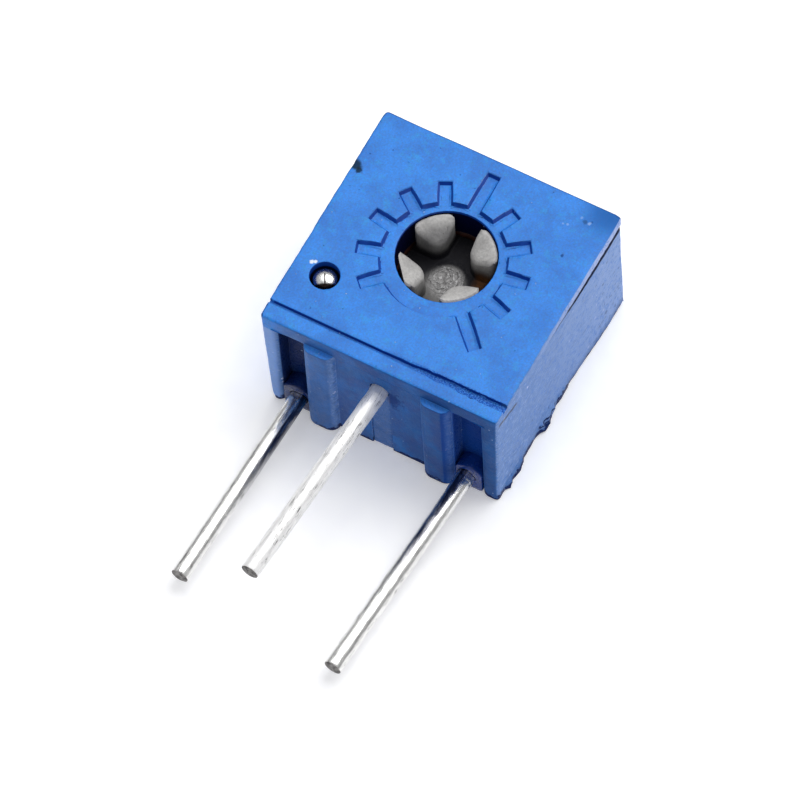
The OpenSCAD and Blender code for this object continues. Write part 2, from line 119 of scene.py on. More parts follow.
# ---- a node material and its tools ----
class Finish:
    """A node material being put together, with the colour laid on so far. Lengths in mm, colours linear."""

    def __init__(self, name):
        self.material = bpy.data.materials.new(name)
        self.material.use_nodes = True
        self.tree = self.material.node_tree
        self.shader = self.tree.nodes["Principled BSDF"]
        coord = self.add("ShaderNodeTexCoord")
        self.place = self.vector("SCALE", coord.outputs["Object"], 1 / MM)
        self.x, self.y, self.z = self.split(self.place)
        self.nx, self.ny, self.nz = self.split(coord.outputs["Normal"])
        self.colour = None

    def add(self, kind, **settings):
        node = self.tree.nodes.new(kind)
        for key, value in settings.items():
            setattr(node, key, value)
        return node

    def feed(self, socket, value):
        if isinstance(value, bpy.types.NodeSocket):
            self.tree.links.new(value, socket)
        elif value is not None:
            try:
                socket.default_value = value
            except (TypeError, ValueError):
                socket.default_value = (*value, 1)

    def split(self, vector):
        node = self.add("ShaderNodeSeparateXYZ")
        self.feed(node.inputs[0], vector)
        return node.outputs[:3]

    def vector(self, operation, a, b):
        node = self.add("ShaderNodeVectorMath", operation=operation)
        self.feed(node.inputs[0], a)
        self.feed(node.inputs["Scale" if operation == "SCALE" else 1], b)
        return node.outputs[0]

    def maths(self, operation, a, b=None):
        node = self.add("ShaderNodeMath", operation=operation)
        self.feed(node.inputs[0], a)
        self.feed(node.inputs[1], b)
        return node.outputs[0]

    def length(self, a, b):
        squares = self.maths("MULTIPLY", a, a), self.maths("MULTIPLY", b, b)
        return self.maths("SQRT", self.maths("ADD", *squares))

    def away(self, a, at_a, b, at_b):
        """Distance from the place at_a, at_b in the plane of a and b."""
        return self.length(self.maths("SUBTRACT", a, at_a), self.maths("SUBTRACT", b, at_b))

    def span(self, value, low, high, out_low=0.0, out_high=1.0, smooth=True):
        """value from low to high becomes out_low to out_high, clamped."""
        node = self.add("ShaderNodeMapRange", interpolation_type="SMOOTHSTEP" if smooth else "LINEAR")
        for key, v in (("Value", value), ("From Min", low), ("From Max", high),
                       ("To Min", out_low), ("To Max", out_high)):
            self.feed(node.inputs[key], v)
        return node.outputs[0]

    def noise(self, size, detail=3.0, rough=0.55, stretch=(1, 1, 1), distortion=0.0, shift=0.0):
        """Noise from 0 to 1 whose grain is size mm across, longer by stretch along each axis."""
        factor = Vector([1 / (size * s) for s in stretch])
        place = self.vector("MULTIPLY", self.place, factor)
        node = self.add("ShaderNodeTexNoise")
        self.feed(node.inputs["Vector"], self.vector("ADD", place, (shift, shift, shift)))
        self.feed(node.inputs["Scale"], 1.0)
        self.feed(node.inputs["Detail"], detail)
        self.feed(node.inputs["Roughness"], rough)
        self.feed(node.inputs["Distortion"], distortion)
        return node.outputs["Fac"]

    def specks(self, cell, radius, share, shift=0.0):
        """Mask of small dots: one to a cell of that size, in that share of the cells."""
        node = self.add("ShaderNodeTexVoronoi")
        self.feed(node.inputs["Vector"], self.vector("ADD", self.place, (shift, shift, shift)))
        self.feed(node.inputs["Scale"], 1 / cell)
        dot = self.span(node.outputs["Distance"], radius / cell, 0.6 * radius / cell)
        pick = self.split(node.outputs["Color"])
        ragged = self.span(self.noise(radius * 1.3, 1), 0.35, 0.6)
        return self.both(self.maths("LESS_THAN", pick[0], share), dot, ragged)

    def spot(self, x, y, radius):
        """Mask of a round spot on an upward face."""
        away = self.away(self.x, x, self.y, y)
        ragged = self.maths("MULTIPLY", self.span(self.noise(radius, 2), 0.2, 0.8, 0.75, 1.25), away)
        return self.both(self.span(ragged, radius, 0.45 * radius), self.span(self.nz, 0.2, 0.5))

    def both(self, *masks):
        """Product of all the masks."""
        out = masks[0]
        for mask in masks[1:]:
            out = self.maths("MULTIPLY", out, mask)
        return out

    def either(self, a, b):
        return self.maths("MAXIMUM", a, b)

    def within(self, value, low, high, soft):
        """Mask that is 1 between low and high, fading over soft outside them."""
        return self.both(self.span(value, low - soft, low), self.span(value, high + soft, high))

    def mix(self, share, a, b, blend="MIX"):
        """Colour a, or b at share 1; inputs 6 and 7 and output 2 are the node's colour sockets."""
        node = self.add("ShaderNodeMix", data_type="RGBA", blend_type=blend)
        self.feed(node.inputs["Factor"], share)
        self.feed(node.inputs[6], a)
        self.feed(node.inputs[7], b)
        return node.outputs[2]

    def mottle(self, dark, light, by):
        """Starts the colour: dark to light as by runs through its middle range."""
        self.colour = self.mix(self.span(by, 0.35, 0.65), dark, light)

    def coat(self, paint, *masks, share=None):
        """Lays paint over the colour where all the masks are 1, at that share of full cover."""
        mask = self.both(*masks)
        if share:
            mask = self.maths("MULTIPLY", mask, share)
        self.colour = self.mix(mask, self.colour, paint)

    def shade(self, low, high, by):
        """Multiplies the colour by a grey that runs from low to high as by runs from 0.3 to 0.7."""
        grey = self.span(by, 0.3, 0.7, low, high, smooth=False)
        node = self.add("ShaderNodeCombineColor")
        for socket in node.inputs[:3]:
            self.feed(socket, grey)
        self.colour = self.mix(1.0, self.colour, node.outputs[0], "MULTIPLY")

    def bump(self, height, depth, strength=1.0, under=None):
        """Height from 0 to 1 becomes depth mm of relief."""
        node = self.add("ShaderNodeBump")
        self.feed(node.inputs["Strength"], strength)
        self.feed(node.inputs["Distance"], depth * MM)
        self.feed(node.inputs["Height"], height)
        self.feed(node.inputs["Normal"], under)
        return node.outputs[0]

    def done(self, rough, normal, metal=0.0, specular=0.5, glow=0.0):
        for key, value in (("Base Color", self.colour), ("Roughness", rough), ("Metallic", metal),
                           ("Specular IOR Level", specular), ("Emission Strength", glow),
                           ("Emission Color", self.colour if glow else None), ("Normal", normal)):
            self.feed(self.shader.inputs[key], value)
        return self.material


# ---- colours, linear ----
# the housing: its clean face, its scuffs with painted sheen, its dulled walls, its painted shade, highlight
# and glints, its specks
BLUE, BLUE_DEEP, TEAL = (0.017, 0.215, 0.73), (0.012, 0.165, 0.6), (0.012, 0.28, 0.66)
SCUFF_AND_SHEEN_BLUE, PALE_BLUE = (0.095, 0.21, 0.5), (0.27, 0.41, 0.76)
RUBBED_AND_SHEEN_BLUE, SPARKLE = (0.42, 0.52, 0.86), (0.6, 0.68, 0.95)
DULL_BLUE, PATCH_BLUE, CORNER_SHADE_BLUE = (0.022, 0.1, 0.33), (0.028, 0.062, 0.24), (0.006, 0.115, 0.42)
WALL_BLUE, FLANK_SHADE_BLUE, POCKET_SHADE_BLUE = (0.004, 0.05, 0.33), (0.007, 0.05, 0.3), (0.004, 0.035, 0.24)
SHADOW_BLUE, NAVY, SHADE = (0.002, 0.012, 0.1), (0.003, 0.012, 0.085), (0.0015, 0.003, 0.03)
DUST, PIT_AND_EDGE_REFLECTION = (0.45, 0.62, 0.92), (0.008, 0.035, 0.16)
STAIN, FLECK = (0.008, 0.016, 0.014), (0.86, 0.9, 0.95)
# the rotor, its dirt and its painted shade
GREY_LOW, GREY, SLOT_SHADE_GREY = (0.38, 0.37, 0.36), (0.5, 0.49, 0.475), (0.3, 0.3, 0.3)
RUBBED_GREY, BRIGHT_FLECK = (0.42, 0.41, 0.41), (0.95, 0.95, 0.95)
ARM_SHADOW_DARK, PRONG_SHADE_GREY, BROWN, DIRT = (0.008, 0.008, 0.012), (0.07, 0.07, 0.075), (0.2, 0.08, 0.025), (0.1, 0.09, 0.08)
# the leads with their painted dark reflections, and the resin
TIN, DULL_TIN = (0.9, 0.89, 0.87), (0.98, 0.97, 0.96)
TARNISH, TIN_DARK_REFLECTION = (0.3, 0.29, 0.28), (0.012, 0.016, 0.05)
HEAD_DARK_REFLECTION, SCRATCH = (0.02, 0.012, 0.01), (0.06, 0.055, 0.055)
CUT_DARK, CUT_LIGHT = (0.05, 0.045, 0.045), (0.24, 0.23, 0.22)
RESIN, KEY_BLUE = (0.006, 0.028, 0.15), (0.0208, 0.1078, 0.3624)

# ---- the housing's finish; where a paint function returns a mask, the gloss is less there ----
# marks on the top: x, y, radius, strength, colour
CHIPS = ((*BLEMISH, 0.09, 0.45, STAIN), (2.93, 2.53, 0.06, 0.4, DUST), (2.66, 2.6, 0.05, 0.25, DUST),
         (2.42, 2.25, 0.05, 0.3, DUST), (2.3, 2.22, 0.04, 0.3, DUST), (2.73, 1.35, 0.06, 0.75, PIT_AND_EDGE_REFLECTION),
         (-3.42, NICK_Y, 0.19, 0.88, STAIN), (-3.27, 1.17, 0.12, 0.88, STAIN),
         (-3.04, -1.84, 0.08, 0.88, FLECK), (-2.96, -1.79, 0.06, 0.88, FLECK))


def paint_moulding(f, grain):
    """The clean moulded face: cloudy, mottled and grainy."""
    f.mottle(BLUE_DEEP, BLUE, f.noise(1.1, 5, 0.6))
    f.shade(0.93, 1.07, f.noise(0.3, 3, 0.6, shift=7))
    f.coat(TEAL, f.span(f.noise(0.24, 4, 0.75, shift=43), 0.5, 0.68, 0.0, 0.5))
    f.shade(0.78, 1.22, grain)


def paint_front(f, front):
    """Painted shade over the front, mottled and darker towards the right, a painted highlight on its left
    wall, and a painted shadow beside the middle lead.
    """
    front_shade_mottle = f.span(f.noise(0.5, 4, 0.65, (1, 1, 1.5), shift=13), 0.35, 0.65, 0.62, 0.95)
    # painted shade: the front darker and greyer than the top, except its left wall
    f.coat(DULL_BLUE, front, f.span(f.x, -3.15, -2.6), front_shade_mottle)
    f.coat(NAVY, front, f.span(f.x, 0.2, 2.2, 0.0, 0.35))
    # painted highlight: the left wall below the lip is paler
    f.coat(PALE_BLUE, front, f.span(f.x, -2.7, -3.1, 0.0, 0.6), f.span(f.z, LIP_Z, LIP_Z - 0.1))
    ragged = f.span(f.noise(0.15, 4, 0.7, shift=53), 0.3, 0.7, 0.6, 1.5)
    beside = f.maths("MULTIPLY", f.away(f.x, SHADOW_X, f.z, SHADOW_Z), ragged)
    shadow = f.both(front, f.span(beside, 0.5, 0.2))
    f.coat(SHADOW_BLUE, shadow, share=0.75)
    patch = f.span(f.noise(0.8, 4, 0.7, shift=31), 0.42, 0.6, 0.0, 0.5)
    f.coat(PATCH_BLUE, front, patch, f.within(f.x, -1.2, 3.0, 0.3))
    return shadow


def paint_far_corner(f):
    """Painted shade: the top is darker towards its far right corner."""
    corner = f.both(f.span(f.nz, 0.5, 0.8), f.span(f.x, 2.2, 3.3), f.span(f.y, 1.9, 3.0))
    # painted shade on the top's far right corner
    f.coat(CORNER_SHADE_BLUE, corner)
    return corner


def paint_sides(f, side, right, rub):
    """Rubbed pale and painted with sheen: the right side palest at the back and above the parting line, with
    its own marks and painted glints.
    """
    f.coat(SCUFF_AND_SHEEN_BLUE, side, rub, f.span(f.ny, -0.8, -0.5, 0.0, 0.5))
    # painted sheen with the scuffs: the whole right side paler and greyer, palest at the back
    f.coat(SCUFF_AND_SHEEN_BLUE, right, share=0.8)
    f.coat(PALE_BLUE, right, f.span(f.y, -3.0, 3.0, 0.05, 0.75), f.span(rub, 0.0, 1.0, 0.65, 1.0))
    above = f.span(f.z, PARTING_Z - 0.02, PARTING_Z + 0.04)
    # painted sheen and rubbing: a pale band above the parting line
    f.coat(RUBBED_AND_SHEEN_BLUE, right, above, f.span(f.y, -2.5, 1.5, 0.0, 0.8))
    f.coat(BLUE_DEEP, right, f.span(f.noise(0.14, 4, 0.75, shift=17), 0.52, 0.6, 0.0, 0.6))
    marks = f.either(f.specks(0.3, 0.09, 0.55, shift=21), f.specks(0.17, 0.05, 0.4, shift=27))
    f.coat(DULL_BLUE, right, marks, f.span(f.z, 3.9, 2.6, 0.45, 0.9))
    scuffs = f.span(f.noise(0.08, 4, 0.8, (1, 2.5, 1), shift=47), 0.5, 0.64)
    f.coat(PALE_BLUE, right, scuffs, f.span(f.y, -4.0, 0.0, 0.75, 0.4))
    scratches = f.span(f.noise(0.06, 3, 0.75, (1, 12, 1), shift=51), 0.58, 0.66, 0.0, 0.55)
    f.coat(DULL_BLUE, right, scratches)
    # painted glints on the right side
    f.coat(SPARKLE, right, f.specks(0.42, 0.065, 0.5, shift=33), f.span(f.y, 1.0, -2.0, 0.3, 1.0))


def paint_seam(f):
    """Painted shade in the parting line's gap and on the face just below it, a wedge that opens towards the
    back, and a dark crease line near the front.
    """
    outer = f.both(f.span(f.x, SIDE - 0.15, SIDE - 0.1), f.span(f.ny, 0.85, 0.6))
    gap = f.span(f.y, SEAM_START_Y, 1.3, 0.0, 0.25)
    seam = f.both(outer, f.span(f.z, PARTING_Z + 0.06, PARTING_Z + 0.03),
                  f.span(f.y, SEAM_START_Y, -0.3, 0.0, 0.97),
                  f.span(f.maths("ADD", f.z, gap), PARTING_Z - 0.03, PARTING_Z))
    crease_z = f.maths("ADD", f.z, f.maths("MULTIPLY", f.y, 0.34))    # it falls as it runs back
    crease = f.both(outer, f.within(crease_z, 2.73, 2.81, 0.05), f.within(f.y, -3.66, -2.8, 0.12))
    # painted shade in the parting groove, with the crease line
    f.coat(SHADE, f.either(seam, f.maths("MULTIPLY", crease, 0.75)))
    return seam


def paint_pockets(f):
    """Painted shade inside the pockets, less of it in the right one."""
    pocket_shade = f.both(f.within(f.maths("ABSOLUTE", f.x), POCKET_IN - 0.02, POCKET_OUT + 0.02, 0.03),
                  f.span(f.y, FRONT + 0.03, FRONT + 0.12), f.span(f.y, POCKET_Y + 0.03, POCKET_Y),
                  f.span(f.z, LIP_Z + 0.05, LIP_Z))
    # painted shade: navy in the pockets, fading out towards the right
    f.coat(NAVY, pocket_shade, f.span(f.x, -1.0, 1.0, 0.94, 0.0))
    # painted shade: dark blue in the right pocket
    f.coat(POCKET_SHADE_BLUE, pocket_shade, f.span(f.x, 1.0, 1.2, 0.0, 0.75))
    return pocket_shade


def paint_rib_flank(f):
    """Painted shade on the second rib's flank where the right pocket begins."""
    flank = f.both(f.within(f.x, POCKET_IN - 0.22, POCKET_IN, 0.05), f.span(f.y, POCKET_Y, FRONT + 0.1),
                   f.span(f.nx, 0.1, 0.4))
    # painted shade on the rib's flank
    f.coat(FLANK_SHADE_BLUE, flank, share=0.6)
    return flank


def paint_holes(f):
    """Painted shade on the walls of the bore and of the small hole."""
    bore = f.both(f.span(f.length(f.x, f.y), BORE_R + 0.05, BORE_R + 0.02),
                  f.span(f.z, DIAL_Z - 0.02, DIAL_Z - 0.1))
    well = f.both(f.span(f.away(f.x, HOLE.x, f.y, HOLE.y), HOLE_R + 0.06, HOLE_R + 0.03),
                  f.span(f.z, TOP - 0.01, TOP - 0.05))
    dark = f.either(bore, well)
    # painted shade on the bore's and the small hole's walls
    f.coat(SHADE, dark)
    return dark


def paint_top_edges(f):
    """The top's left and back edges look dark: a painted dark reflection on their rounding."""
    edge = f.either(f.span(f.y, BACK - 0.1, BACK - 0.05), f.span(f.x, -SIDE + 0.1, -SIDE + 0.05))
    edge = f.both(edge, f.span(f.z, TOP - 0.12, TOP - 0.06), f.span(f.nz, 0.99, 0.85))
    # painted dark reflection along the top's left and back edges
    f.coat(PIT_AND_EDGE_REFLECTION, edge, share=0.8)
    return edge


def paint_sunk_walls(f):
    """Painted shade on the walls of the dial and of the groove behind the lip."""
    sunk = f.both(f.span(f.nz, 0.88, 0.7), f.within(f.z, DIAL_Z - 0.08, TOP - 0.012, 0.012),
                  f.span(f.maths("ABSOLUTE", f.x), SIDE - 0.1, SIDE - 0.16),
                  f.span(f.y, BACK - 0.1, BACK - 0.16), f.span(f.y, FRONT + 0.1, FRONT + 0.16))
    # painted shade on the recess walls
    f.coat(WALL_BLUE, sunk, share=0.92)
    return sunk


def paint_resin(f, side, right):
    """The right side painted darker towards its foot as shade; a dark smear along the bottom edge, partly
    resin and partly painted contact shade; resin round each lump of the flash.
    """
    creep = f.maths("ADD", f.z, f.span(f.noise(0.3, 4, 0.7), 0.2, 0.8, 0.16, -0.16))
    creep = f.maths("ADD", creep, f.span(f.y, -0.4, 0.4, -0.06, 0.02))
    smear = f.both(side, f.span(creep, 0.1, 0.05))
    # painted shade: the right side darker towards its foot
    f.coat(DULL_BLUE, right, f.span(f.z, 0.45, 0.05, 0.0, 0.75))
    ragged_z = f.maths("ADD", f.z, f.span(f.noise(0.22, 3, 0.6, shift=57), 0.2, 0.8, 0.06, -0.06))
    for start, end, _, tall in FLASH:
        rim = f.either(f.within(ragged_z, tall - 0.1, tall - 0.05, 0.03), f.span(ragged_z, 0.19, 0.15))
        smear = f.either(smear, f.both(right, f.within(f.y, start + 0.1, end - 0.1, 0.1), rim))
    # resin, with painted contact shade along the bottom edge
    f.coat(NAVY, smear, share=0.95)
    return smear


def paint_groove_specks(f):
    """Dark ragged specks along and in the groove's right half."""
    groove_specks = f.both(f.span(f.nz, 0.4, 0.7), f.within(f.y, GROOVE[0] - 0.02, GROOVE[1] + 0.08, 0.03),
                  f.span(f.x, -0.8, 2.2), f.span(f.noise(0.045, 3, 0.8, shift=37), 0.44, 0.54))
    f.coat(WALL_BLUE, groove_specks, share=0.85)
    return groove_specks


def housing_finish():
    f = Finish("moulded_blue")
    front, side, right = f.span(f.ny, -0.5, -0.85), f.span(f.nz, 0.75, 0.25), f.span(f.nx, 0.4, 0.8)
    grain = f.noise(0.06, 3, 0.7)
    rub = f.span(f.noise(0.45, 5, 0.7), 0.35, 0.7)
    paint_moulding(f, grain)
    shadow = paint_front(f, front)
    corner = paint_far_corner(f)
    paint_sides(f, side, right, rub)
    seam = paint_seam(f)
    pocket_shade = paint_pockets(f)
    flank = paint_rib_flank(f)
    dark = paint_holes(f)
    edge = paint_top_edges(f)
    sunk = paint_sunk_walls(f)
    smear = paint_resin(f, side, right)
    groove_specks = paint_groove_specks(f)
    dust, pits = f.specks(0.3, 0.034, 0.4), f.specks(0.27, 0.026, 0.3, shift=3.3)
    f.coat(PIT_AND_EDGE_REFLECTION, pits, share=0.6)
    f.coat(DUST, dust, share=0.5)
    for x, y, radius, strength, paint in CHIPS:
        mark = f.maths("MULTIPLY", f.spot(x, y, radius), strength)
        f.coat(paint, mark)
        if paint in (STAIN, PIT_AND_EDGE_REFLECTION):    # dark marks are dull too
            dark = f.either(dark, mark)
    # rougher where it is rubbed, smoother in the pockets' painted shade and where the resin is
    rough = f.span(grain, 0.3, 0.7, 0.4, 0.58, smooth=False)
    rough = f.maths("ADD", rough, f.both(side, rub, f.span(f.nz, 0.5, 0.2, 0.0, 0.12)))
    rough = f.maths("SUBTRACT", rough, f.maths("MULTIPLY", f.either(pocket_shade, smear), 0.22))
    skin = f.bump(f.noise(0.1, 4, 0.75), 0.008, under=f.bump(f.noise(0.7, 3), 0.012))
    skin = f.bump(f.noise(0.028, 2, 0.6), 0.0025, under=skin)
    scar = f.bump(f.noise(0.16, 5, 0.75), 0.022, strength=side, under=skin)
    normal = f.bump(f.maths("SUBTRACT", dust, pits), 0.012, under=scar)
    # dark marks, dirt and painted shade lose part of the gloss, and the front's right half most of it
    gloss = f.span(f.both(front, f.span(f.x, -3.0, 1.0)), 0.0, 1.0, 0.42, 0.1)
    for mask, loss in ((sunk, 0.5), (smear, 0.9), (dark, 0.85), (seam, 0.9), (edge, 0.7), (corner, 0.5),
                       (groove_specks, 0.8), (flank, 0.8), (pocket_shade, 0.8), (shadow, 0.8)):
        gloss = f.maths("MULTIPLY", gloss, f.span(mask, 0.0, 1.0, 1.0, 1.0 - loss))
    return f.done(rough, normal, specular=gloss)


# ---- the rotor's finish ----
def paint_slot_floor(f, radius):
    """Rubbed bright by the driver at the middle; returns the masks of the middle and of its swirl."""
    middle = f.both(f.span(f.z, SLOT_Z + 0.16, SLOT_Z + 0.08), f.span(radius, 0.7, 0.3))
    f.coat(RUBBED_GREY, middle, share=0.6)
    rings = f.maths("MULTIPLY", f.away(f.x, -0.2, f.y, 0.0), 42.0)
    rings = f.maths("ADD", rings, f.maths("MULTIPLY", f.noise(0.2, 4, 0.7, shift=2), 14.0))
    swirl = f.span(f.maths("SINE", rings), -1.0, 1.0)
    flecks = f.both(middle, swirl, f.span(f.noise(0.08, 3, 0.8, distortion=1.8, shift=9), 0.52, 0.6))
    f.coat(BRIGHT_FLECK, flecks, share=0.8)
    return middle, swirl


def paint_slot_shade_and_dirt(f, radius):
    """Painted shadow out in the arms, painted shade low on one prong, one arm's end painted brown, and specks
    of dirt; returns the shadow's mask.
    """
    out = f.maths("ADD", radius, f.maths("MULTIPLY", f.y, 0.5))
    # painted shadow out in the slot's arms
    arm_shadow = f.both(f.span(f.z, 3.75, 3.2), f.span(out, 0.25, 0.7), f.span(radius, 0.3, 0.5))
    f.coat(ARM_SHADOW_DARK, arm_shadow, share=0.96)
    prong = f.span(f.maths("SUBTRACT", f.y, f.x), 0.5, 0.9)
    # painted shade on the lower flanks of one prong
    f.coat(PRONG_SHADE_GREY, prong, f.span(radius, 1.25, 0.85), f.span(f.z, 3.4, 3.7), share=0.62)
    f.coat(BROWN, f.within(f.x, 0.85, 1.15, 0.3), f.within(f.y, 0.15, 0.45, 0.3), f.span(f.z, 3.7, 3.2),
           f.span(f.noise(0.22, 4, 0.7, shift=61), 0.25, 0.6), share=0.9)
    f.coat(DIRT, f.specks(0.3, 0.03, 0.2, shift=5), share=0.6)
    return arm_shadow


def rotor_finish():
    f = Finish("moulded_grey")
    f.mottle(GREY_LOW, GREY, f.noise(0.8, 4))
    f.shade(0.8, 1.2, f.noise(0.07, 4, 0.7))
    # painted shade: the slot darker towards its floor
    depth_shaded = f.mix(1.0, f.colour, SLOT_SHADE_GREY, "MULTIPLY")
    f.colour = f.mix(f.span(f.z, SLOT_Z - 0.05, PRONG_Z - 0.12), depth_shaded, f.colour)
    radius = f.length(f.x, f.y)
    middle, swirl = paint_slot_floor(f, radius)
    arm_shadow = paint_slot_shade_and_dirt(f, radius)
    rough = f.span(f.noise(0.12, 3), 0.3, 0.7, 0.42, 0.58, smooth=False)
    rough = f.maths("SUBTRACT", rough, f.maths("MULTIPLY", middle, 0.24))
    skin = f.bump(f.noise(0.09, 4, 0.7), 0.014)
    normal = f.bump(f.both(swirl, middle), 0.03, under=skin)
    return f.done(rough, normal, specular=f.span(arm_shadow, 0.0, 1.0, 0.45, 0.12))


# ---- finishes of the leads, the potting and the rest ----
ACROSS = (0.878, 0.478)    # in plan, square to the painted dark reflection line on the first lead's head


def paint_lead_reflections(f, reflection_cover):
    """Painted dark reflections on the outer leads near the body: the first one's right side, the third one's
    left.
    """
    shade = f.span(f.noise(0.1, 4, 0.7, (1, 8, 1), shift=15), 0.4, 0.56)
    first = f.both(f.span(f.x, -1.0, -1.5), f.span(f.nx, 0.35, 0.6), f.span(f.y, -8.0, -5.2))
    third = f.both(f.span(f.x, 1.0, 1.5), f.within(f.nx, -0.5, 0.05, 0.15), f.span(f.y, -8.6, -5.6))
    below = f.span(f.z, 3.0, 2.5)
    # painted dark reflections down the outer leads
    f.coat(TIN_DARK_REFLECTION, f.either(first, third), below, f.span(shade, 0.0, 1.0, 0.6, reflection_cover))


def paint_lead_head(f):
    """Painted dark reflections on the first lead's head: a line across it and its lower edge."""
    dx, dy = f.maths("SUBTRACT", f.x, HOLE.x), f.maths("SUBTRACT", f.y, HOLE.y)
    across = f.maths("ADD", f.maths("MULTIPLY", dx, ACROSS[0]), f.maths("MULTIPLY", dy, ACROSS[1]))
    down = f.maths("SUBTRACT", f.maths("MULTIPLY", dx, ACROSS[1]), f.maths("MULTIPLY", dy, ACROSS[0]))
    line = f.both(f.within(across, -0.012, 0.012, 0.014), f.within(down, -0.1, 0.2, 0.03))
    # painted dark reflections on the first lead's head
    f.coat(HEAD_DARK_REFLECTION, f.either(line, f.span(down, 0.15, 0.2)), f.span(f.z, 3.6, 3.8))


def tin_finish(name, bright, rough_low, rough_high, reflection_cover=0.0, metal=1.0):
    """Tinned wire; the outer leads' painted dark reflections get the cover given for them."""
    f = Finish(name)
    streak = f.noise(0.045, 4, 0.7, (1, 14, 1))
    f.mottle(tuple(0.86 * c for c in bright), bright, streak)
    marks = f.span(f.noise(0.11, 4, 0.75, (1, 3, 1), shift=11), 0.6, 0.72)
    f.coat(TARNISH, marks, share=0.55)
    if reflection_cover:
        paint_lead_reflections(f, reflection_cover)
        paint_lead_head(f)
    scratch = f.span(f.noise(0.035, 4, 0.8, (1, 14, 1), shift=19), 0.54, 0.62)
    f.coat(SCRATCH, scratch, f.span(f.noise(0.5, 3, shift=23), 0.4, 0.6, 0.2, 0.9))
    cut = f.both(f.span(f.ny, -0.75, -0.92), f.span(f.y, -9.5, -9.7))
    f.coat(f.mix(f.span(f.noise(0.12, 3, 0.7), 0.4, 0.6), CUT_DARK, CUT_LIGHT), cut)
    rough = f.span(streak, 0.3, 0.7, rough_low, rough_high, smooth=False)
    rough = f.maths("ADD", rough, f.maths("MULTIPLY", f.either(cut, marks), 0.2))
    pitted = f.bump(f.noise(0.06, 3, 0.7, shift=4), 0.003, under=f.bump(streak, 0.006))
    return f.done(rough, pitted, metal=metal)


def potting_finish():
    f = Finish("navy_resin")
    f.mottle(NAVY, RESIN, f.noise(0.5, 4))
    f.coat(WALL_BLUE, f.span(f.x, 1.0, 1.6, 0.0, 0.5))
    # the key in the front wall is painted like that wall, painted shade included, with the shadow beside the
    # middle lead
    key = f.both(f.span(f.maths("ABSOLUTE", f.x), 0.6, 0.5), f.span(f.y, -3.3, -3.6))
    f.coat(KEY_BLUE, key)
    f.coat(SHADOW_BLUE, key, f.span(f.x, 0.1, 0.35), f.span(f.z, 2.5, 2.8, 0.0, 0.7))
    rough = f.span(f.noise(0.2, 3), 0.3, 0.7, 0.16, 0.34, smooth=False)
    return f.done(rough, f.bump(f.noise(0.35, 3), 0.03), specular=f.span(key, 0.0, 1.0, 0.5, 0.15))


def plain_finish(name, dark, light, rough, size, relief, metal=0.0, stretch=(1, 1, 1), glow=0.0):
    """Two close colours mottled at that size in mm, with relief in mm."""
    f = Finish(name)
    cloud = f.noise(size, 4, 0.65, stretch)
    f.mottle(dark, light, cloud)
    fine = f.noise(size * 0.6, 3, stretch=stretch, shift=6)
    value = f.span(fine, 0.3, 0.7, rough - 0.08, rough + 0.08, smooth=False)
    return f.done(value, f.bump(cloud, relief), metal=metal, glow=glow)


# ---- tools for meshes, in mm until they are done ----
WELD, ROUNDED_WELD, CUT_WELD = 0.0005, 0.0008, 0.002
FLAT, SHARP, CREASED = (math.radians(a) for a in (0.5, 28, 42))    # merged, rounded, shaded with an edge
STRAY = 0.012


def clean_copy(name):
    """The node's surface in mm, with its flat faces whole again."""
    bm = bmesh.new()
    bm.from_mesh(nodes[name].data)
    bm.transform(Matrix.Scale(1 / MM, 4))
    bmesh.ops.remove_doubles(bm, verts=bm.verts[:], dist=WELD)
    bmesh.ops.dissolve_limit(bm, angle_limit=FLAT, verts=bm.verts[:], edges=bm.edges[:])
    return bm


def rounded(bm, width, segments, weight):
    """Rounds the sharp edges; weight(middle, edge) from 0 to 1 is the share of width that each gets."""
    layer = bm.edges.layers.float.new("bevel_weight_edge")
    for e in bm.edges:
        if len(e.link_faces) == 2 and e.calc_face_angle() > SHARP:
            e[layer] = weight((e.verts[0].co + e.verts[1].co) / 2, e)
    mesh = bpy.data.meshes.new("rounding")
    bm.to_mesh(mesh)
    bm.free()
    holder = bpy.data.objects.new("rounding", mesh)
    bpy.context.scene.collection.objects.link(holder)
    modifier = holder.modifiers.new("bevel", "BEVEL")
    modifier.width, modifier.segments = width, segments
    modifier.limit_method, modifier.use_clamp_overlap = "WEIGHT", False
    depsgraph = bpy.context.evaluated_depsgraph_get()
    out = bmesh.new()
    out.from_mesh(holder.evaluated_get(depsgraph).to_mesh())
    bpy.data.objects.remove(holder)
    bpy.data.meshes.remove(mesh)
    bmesh.ops.remove_doubles(out, verts=out.verts[:], dist=ROUNDED_WELD)
    return out


def dice(bm, steps, extra=()):
    """Cuts every face along planes steps = (x, y, z) apart, and at extra = (axis, place) ones."""
    low = Vector([min(v.co[k] for v in bm.verts) for k in range(3)])
    high = Vector([max(v.co[k] for v in bm.verts) for k in range(3)])
    planes = list(extra)
    for axis, step in enumerate(steps):
        if step:
            count = int((high[axis] - low[axis]) / step)
            planes += [(axis, low[axis] + step * k) for k in range(1, count + 1)]
    for axis, place in planes:
        normal = Vector([float(axis == k) for k in range(3)])
        bmesh.ops.bisect_plane(bm, geom=bm.verts[:] + bm.edges[:] + bm.faces[:], dist=CUT_WELD,
                               plane_co=normal * place, plane_no=normal)


